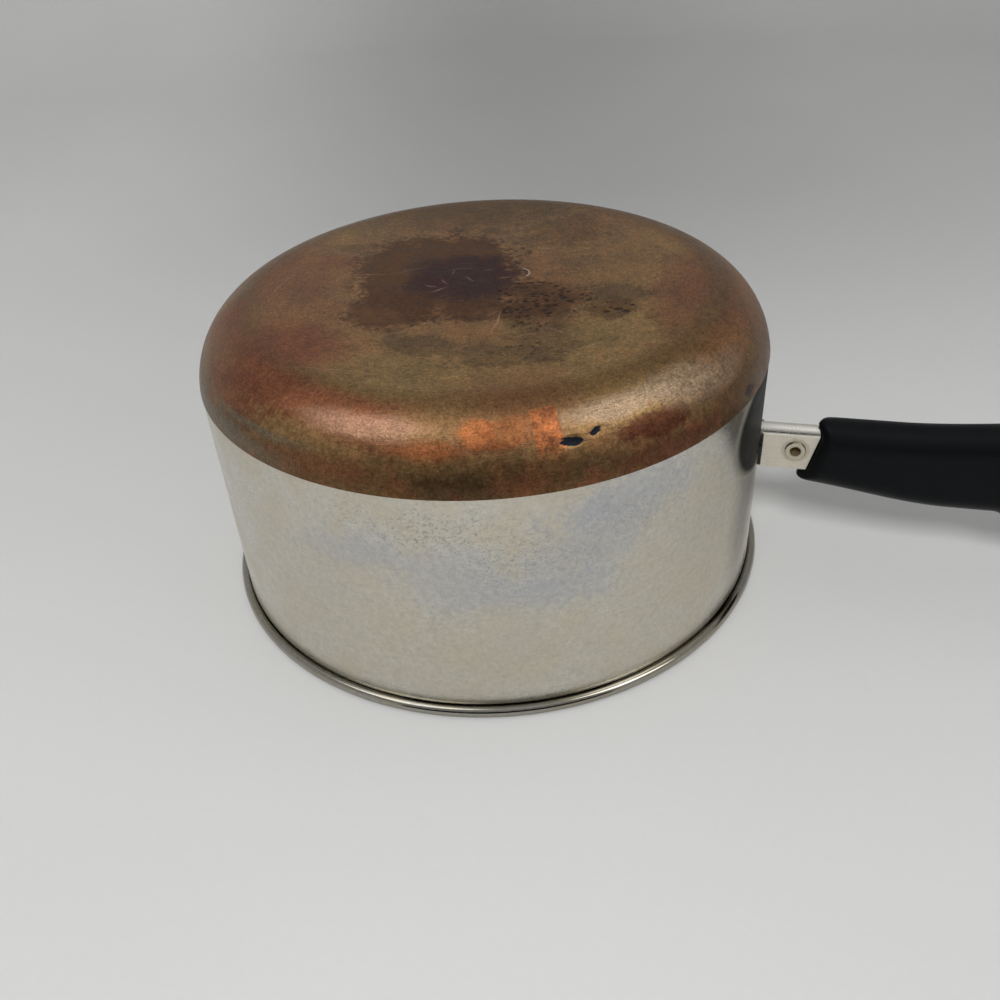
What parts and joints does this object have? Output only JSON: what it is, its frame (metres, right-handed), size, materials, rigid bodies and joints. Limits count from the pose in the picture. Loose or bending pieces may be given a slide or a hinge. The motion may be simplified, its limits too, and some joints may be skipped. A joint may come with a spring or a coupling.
{
  "type": "burnt saucepan",
  "caption": "Long-handled steel saucepan with a copper-clad base, scorched and stained, standing upside down on its rolled rim.",
  "frame": {"origin": "centre of the rim plane, on which the pan stands upside down", "axes": "+Z from the rim plane up to the base, +X out along the handle"},
  "size_m": [0.3812, 0.2064, 0.108],
  "materials": {
    "steel_shell": "hazy polished steel with fine scratches and light heat haze",
    "burnt_copper": "tarnished and scorched copper, worn satin",
    "bracket_steel": "warm polished steel",
    "rivet_steel": "polished steel with brown residue in the hollow",
    "tang_steel": "plain mill finish",
    "grip_plastic": "satin black phenolic"
  },
  "bodies": {
    "root": {"pot_body": "steel_shell", "copper_base": "burnt_copper", "handle_bracket": "bracket_steel", "bracket_rivet": "rivet_steel", "handle_tang": "tang_steel", "grip": "grip_plastic"}
  },
  "joints": []
}
